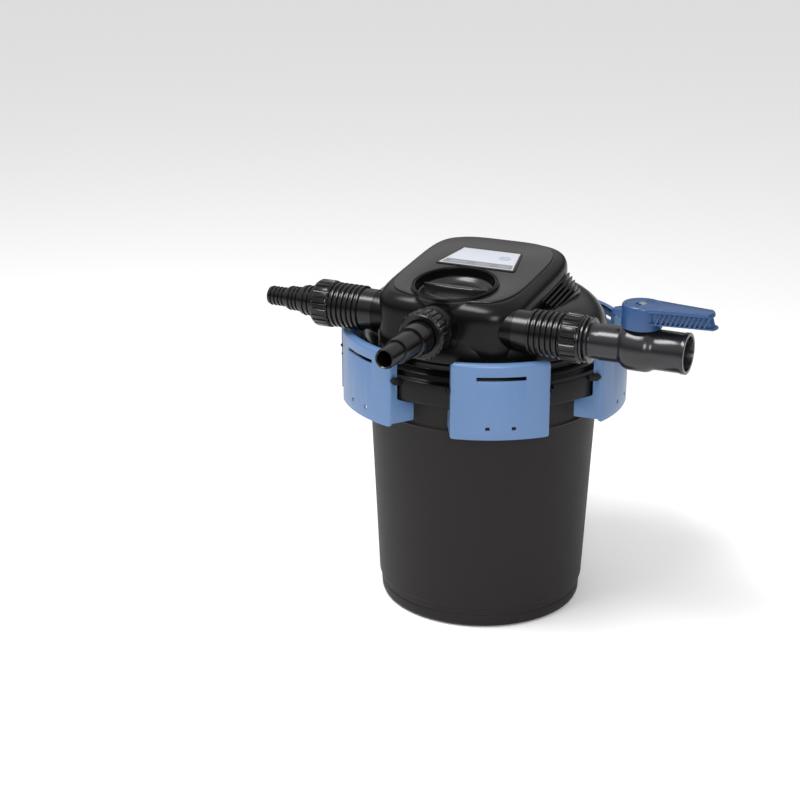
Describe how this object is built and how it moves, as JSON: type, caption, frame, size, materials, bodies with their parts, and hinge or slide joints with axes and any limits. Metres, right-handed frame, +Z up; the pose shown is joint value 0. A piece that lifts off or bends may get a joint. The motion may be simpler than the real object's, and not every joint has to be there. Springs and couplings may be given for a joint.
{
  "type": "pressurized pond filter",
  "caption": "Canister pond filter with lift-off head, selector knob, swing clamps, stepped hose tails and a ball valve outlet.",
  "frame": {"origin": "on the canister's axis at its flat base", "axes": "+Z up; +X out through the outlet port and its valve; -Y out through the front port"},
  "size_m": [0.602, 0.4837, 0.478],
  "materials": {
    "canister_plastic": "fine matte moulded",
    "head_plastic": "satin gloss moulded",
    "fascia_plastic": "satin moulded",
    "fitting_plastic": "satin moulded",
    "clamp_plastic": "satin light blue",
    "lever_plastic": "satin blue",
    "valve_plastic": "semi-gloss grey",
    "label_film": "printed film",
    "rubber": "matte",
    "foam_black": "open cell foam",
    "foam_blue": "open cell foam",
    "foam_green": "open cell foam",
    "media_plastic": "moulded",
    "quartz": "clear tube",
    "lamp_white": "lamp tube",
    "steel": "turned",
    "white_plastic": "moulded"
  },
  "bodies": {
    "head": {"ballast_box": "white_plastic", "base_plate": "fitting_plastic", "cable_gland": "fitting_plastic", "diverter_chamber": "fitting_plastic", "down_tube": "fitting_plastic", "fascia_panel": "fascia_plastic", "front_port_neck": "fitting_plastic", "head_shell": "head_plastic", "knob_well": "head_plastic", "label_plate": "label_film", "lamp_holder": "white_plastic", "left_port_neck": "fitting_plastic", "lid_seal": "rubber", "quartz_sleeve": "quartz", "right_port_neck": "fitting_plastic", "sleeve_nut": "fitting_plastic", "uv_lamp": "lamp_white"},
    "base": {"bio_ball_1": "media_plastic", "bio_ball_2": "media_plastic", "bio_ball_3": "media_plastic", "bio_ball_4": "media_plastic", "bio_ball_5": "media_plastic", "bio_ball_6": "media_plastic", "bio_ball_7": "media_plastic", "bio_ball_8": "media_plastic", "bio_ball_9": "media_plastic", "canister": "canister_plastic", "foam_coarse": "foam_black", "foam_fine": "foam_green", "foam_medium": "foam_blue", "lower_grid": "white_plastic", "media_grid": "white_plastic", "riser_tube": "fitting_plastic", "upper_grid": "white_plastic"},
    "clamp_body_1": {"clamp_1": "clamp_plastic"},
    "clamp_body_2": {"clamp_2": "clamp_plastic"},
    "clamp_body_3": {"clamp_3": "clamp_plastic"},
    "clamp_body_4": {"clamp_4": "clamp_plastic"},
    "clamp_body_5": {"clamp_5": "clamp_plastic"},
    "clamp_body_6": {"clamp_6": "clamp_plastic"},
    "selector": {"diverter_rotor": "white_plastic", "knob_spindle": "steel", "selector_knob": "head_plastic"},
    "front_tail": {"front_hose_tail": "fitting_plastic", "front_washer": "rubber"},
    "front_nut": {"front_union_nut": "fitting_plastic"},
    "outlet_valve": {"inlet_ball_seat": "white_plastic", "outlet_ball_seat": "white_plastic", "right_washer": "rubber", "valve_body": "valve_plastic", "valve_tail": "fitting_plastic"},
    "left_tail": {"left_hose_tail": "fitting_plastic", "left_washer": "rubber"},
    "left_nut": {"left_union_nut": "fitting_plastic"},
    "lever": {"lever_screw": "steel", "valve_ball": "white_plastic", "valve_lever": "lever_plastic", "valve_stem": "steel"},
    "outlet_nut": {"right_union_nut": "fitting_plastic"}
  },
  "joints": [
    {"name": "head_lift", "type": "slide", "parent": "base", "child": "head", "axis": [0, 0, 1], "range_m": [0, 0.3]},
    {"name": "selector_turn", "type": "hinge", "parent": "head", "child": "selector", "pos_m": [0, -0.0955, 0.45426], "axis": [0, -0.1323, 0.9912], "range_deg": [0, 90]},
    {"name": "clamp_1_swing", "type": "hinge", "parent": "head", "child": "clamp_body_1", "pos_m": [0.08625, -0.14939, 0.347], "axis": [-0.866, -0.5, 0], "range_deg": [0, 22]},
    {"name": "clamp_2_swing", "type": "hinge", "parent": "head", "child": "clamp_body_2", "pos_m": [0.17208, 0.01203, 0.347], "axis": [0.0698, -0.9976, 0], "range_deg": [0, 22]},
    {"name": "clamp_3_swing", "type": "hinge", "parent": "head", "child": "clamp_body_3", "pos_m": [0.09646, 0.14301, 0.347], "axis": [0.829, -0.5592, 0], "range_deg": [0, 22]},
    {"name": "clamp_4_swing", "type": "hinge", "parent": "head", "child": "clamp_body_4", "pos_m": [-0.08625, 0.14939, 0.347], "axis": [0.866, 0.5, 0], "range_deg": [0, 22]},
    {"name": "clamp_5_swing", "type": "hinge", "parent": "head", "child": "clamp_body_5", "pos_m": [-0.17208, -0.01203, 0.347], "axis": [-0.0698, 0.9976, 0], "range_deg": [0, 22]},
    {"name": "clamp_6_swing", "type": "hinge", "parent": "head", "child": "clamp_body_6", "pos_m": [-0.09646, -0.14301, 0.347], "axis": [-0.829, 0.5592, 0], "range_deg": [0, 22]},
    {"name": "left_union_slide", "type": "slide", "parent": "head", "child": "left_tail", "axis": [-1, 0, 0], "range_m": [0, 0.012]},
    {"name": "left_nut_turn", "type": "hinge", "parent": "left_tail", "child": "left_nut", "pos_m": [-0.158, -0.118, 0.4165], "axis": [-1, 0, 0], "range_deg": [0, 1080]},
    {"name": "front_union_slide", "type": "slide", "parent": "head", "child": "front_tail", "axis": [0, -1, 0], "range_m": [0, 0.012]},
    {"name": "front_nut_turn", "type": "hinge", "parent": "front_tail", "child": "front_nut", "pos_m": [0, -0.1725, 0.4165], "axis": [0, -1, 0], "range_deg": [0, 1080]},
    {"name": "outlet_union_slide", "type": "slide", "parent": "head", "child": "outlet_valve", "axis": [1, 0, 0], "range_m": [0, 0.012]},
    {"name": "outlet_nut_turn", "type": "hinge", "parent": "outlet_valve", "child": "outlet_nut", "pos_m": [0.158, -0.118, 0.4165], "axis": [1, 0, 0], "range_deg": [0, 1080]},
    {"name": "valve_lever_turn", "type": "hinge", "parent": "outlet_valve", "child": "lever", "pos_m": [0.2535, -0.118, 0.4165], "axis": [0, 0, -1], "range_deg": [0, 90]}
  ],
  "couplings": [
    {"joint": "left_union_slide", "follows": "left_nut_turn", "m_per_rad": 0.00063662},
    {"joint": "front_union_slide", "follows": "front_nut_turn", "m_per_rad": 0.00063662},
    {"joint": "outlet_union_slide", "follows": "outlet_nut_turn", "m_per_rad": 0.00063662}
  ]
}
